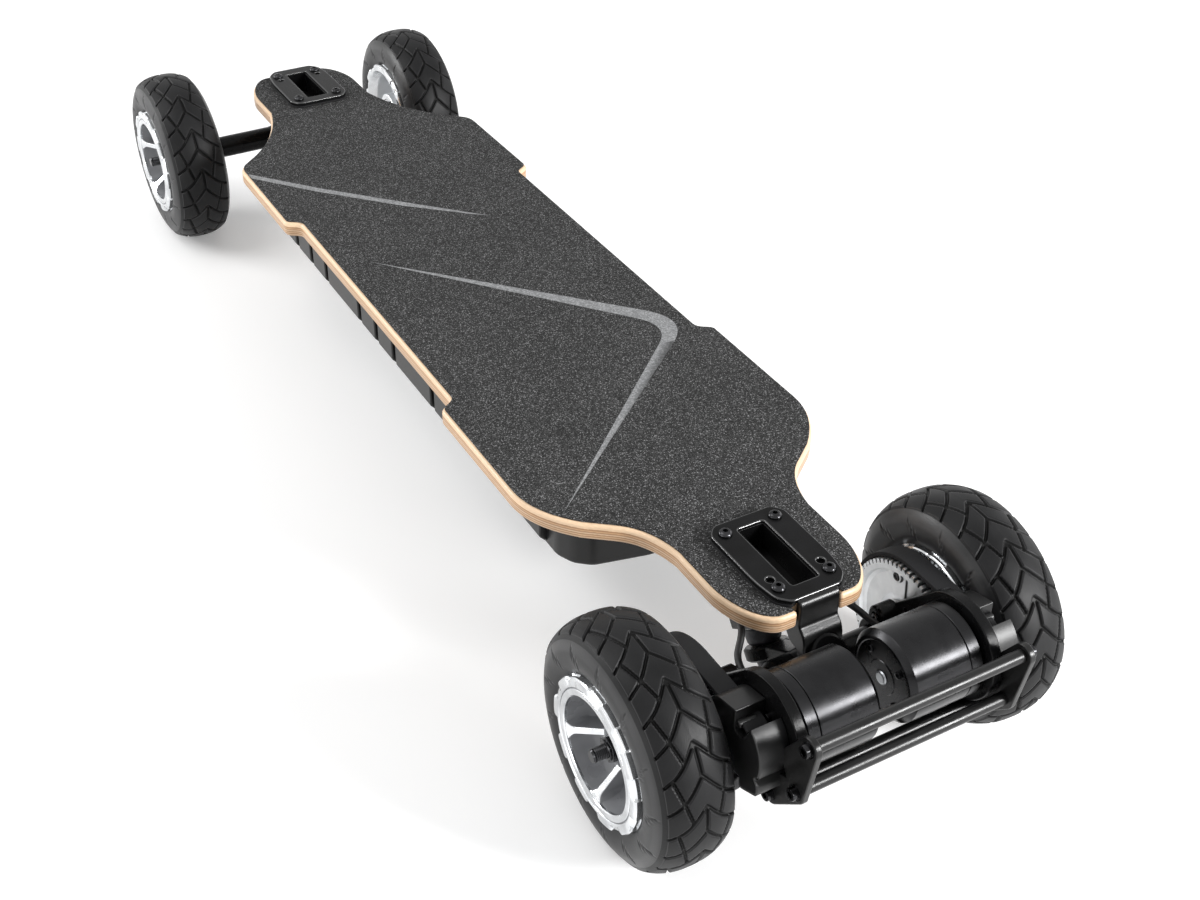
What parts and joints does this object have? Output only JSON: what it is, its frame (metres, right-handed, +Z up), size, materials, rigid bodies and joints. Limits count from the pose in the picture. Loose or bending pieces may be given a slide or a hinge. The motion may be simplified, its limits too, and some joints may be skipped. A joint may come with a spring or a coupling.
{
  "type": "electric mountainboard",
  "caption": "Long flexible-deck mountainboard with sprung steering trucks, air tyres, a twin belt drive at the tail and a ribbed battery enclosure under the deck.",
  "frame": {"origin": "on the ground, under the middle of the overall box", "axes": "+X to the rider's right as the nose points ahead, +Y along the board to the nose, +Z up"},
  "size_m": [0.336, 1.1724, 0.1745],
  "materials": {
    "maple": "clear-lacquered maple plies on the edges",
    "grit": "coarse black grit sheet with grey printed stripes",
    "black_plastic": "fine-grained black plastic",
    "black_metal": "satin black coated metal with bright edges",
    "tyre_rubber": "black treaded tyre rubber",
    "soft_rubber": "matt black rubber",
    "polished": "polished aluminium",
    "steel": "turned steel",
    "gunmetal": "satin gunmetal",
    "urethane": "black urethane",
    "battery_wrap": "blue shrink wrap"
  },
  "bodies": {
    "board": {"deck": "maple", "grip_tape": "grit", "enclosure_tray": "black_plastic", "enclosure_gasket": "soft_rubber", "battery_pack": "battery_wrap", "motor_controller": "steel", "charge_port_stopper": "soft_rubber", "baseplate_front": "black_metal", "riser_pad_front": "soft_rubber", "kingpin_front": "steel", "bushing_upper_front": "urethane", "bushing_lower_front": "urethane", "pivot_cup_front": "urethane", "baseplate_rear": "black_metal", "riser_pad_rear": "soft_rubber", "kingpin_rear": "steel", "bushing_upper_rear": "urethane", "bushing_lower_rear": "urethane", "pivot_cup_rear": "urethane", "motor_lead_left": "soft_rubber", "motor_lead_right": "soft_rubber"},
    "power_button": {"power_button": "polished"},
    "front_truck": {"hanger_front": "black_metal", "axle_front": "steel", "axle_nut_front_left": "black_metal", "axle_nut_front_right": "black_metal"},
    "rear_truck": {"hanger_rear": "black_metal", "axle_rear": "steel", "axle_nut_rear_left": "black_metal", "axle_nut_rear_right": "black_metal", "motor_left": "gunmetal", "belt_left": "soft_rubber", "motor_mount_left": "black_metal", "pulley_cover_left": "black_plastic", "guard_bracket_left": "black_metal", "motor_right": "gunmetal", "belt_right": "soft_rubber", "motor_mount_right": "black_metal", "pulley_cover_right": "black_plastic", "guard_bracket_right": "black_metal", "guard_rod_upper": "black_metal", "guard_rod_lower": "black_metal", "guard_rod_inner": "black_metal"},
    "wheel_front_left": {"tyre_front_left": "tyre_rubber", "rim_front_left": "polished", "hub_bearings_front_left": "steel"},
    "wheel_front_right": {"tyre_front_right": "tyre_rubber", "rim_front_right": "polished", "hub_bearings_front_right": "steel"},
    "wheel_rear_left": {"tyre_rear_left": "tyre_rubber", "rim_rear_left": "polished", "hub_bearings_rear_left": "steel", "drive_gear_left": "polished"},
    "wheel_rear_right": {"tyre_rear_right": "tyre_rubber", "rim_rear_right": "polished", "hub_bearings_rear_right": "steel", "drive_gear_right": "polished"},
    "rotor_left": {"motor_pulley_left": "steel"},
    "rotor_right": {"motor_pulley_right": "steel"}
  },
  "joints": [
    {"name": "steer_front", "type": "hinge", "parent": "board", "child": "front_truck", "pos_m": [0, 0.51597, 0.11565], "axis": [0, 0.788, 0.6157], "range_deg": [-16, 16], "stiffness_Nm_per_rad": 120, "deforming": ["bushing_upper_front", "bushing_lower_front"]},
    {"name": "steer_rear", "type": "hinge", "parent": "board", "child": "rear_truck", "pos_m": [0, -0.48403, 0.11565], "axis": [0, -0.788, 0.6157], "range_deg": [-16, 16], "stiffness_Nm_per_rad": 120, "deforming": ["bushing_upper_rear", "bushing_lower_rear", "motor_lead_left", "motor_lead_right"]},
    {"name": "spin_front_left", "type": "hinge", "parent": "front_truck", "child": "wheel_front_left", "pos_m": [-0.135, 0.49897, 0.08725], "axis": [1, 0, 0], "continuous": true},
    {"name": "spin_front_right", "type": "hinge", "parent": "front_truck", "child": "wheel_front_right", "pos_m": [0.135, 0.49897, 0.08725], "axis": [1, 0, 0], "continuous": true},
    {"name": "spin_rear_left", "type": "hinge", "parent": "rear_truck", "child": "wheel_rear_left", "pos_m": [-0.135, -0.46703, 0.08725], "axis": [1, 0, 0], "continuous": true},
    {"name": "spin_rear_right", "type": "hinge", "parent": "rear_truck", "child": "wheel_rear_right", "pos_m": [0.135, -0.46703, 0.08725], "axis": [1, 0, 0], "continuous": true},
    {"name": "spin_pulley_left", "type": "hinge", "parent": "rear_truck", "child": "rotor_left", "pos_m": [-0.0757, -0.52923, 0.12645], "axis": [1, 0, 0], "continuous": true},
    {"name": "spin_pulley_right", "type": "hinge", "parent": "rear_truck", "child": "rotor_right", "pos_m": [0.0757, -0.52923, 0.12645], "axis": [1, 0, 0], "continuous": true},
    {"name": "press_power_button", "type": "slide", "parent": "board", "child": "power_button", "axis": [0, -1, 0], "range_m": [0, 0.002], "stiffness_N_per_m": 400, "springref_m": -0.0005}
  ],
  "couplings": [
    {"joint": "spin_pulley_left", "follows": "spin_rear_left", "ratio": 4.125},
    {"joint": "spin_pulley_right", "follows": "spin_rear_right", "ratio": 4.125}
  ]
}
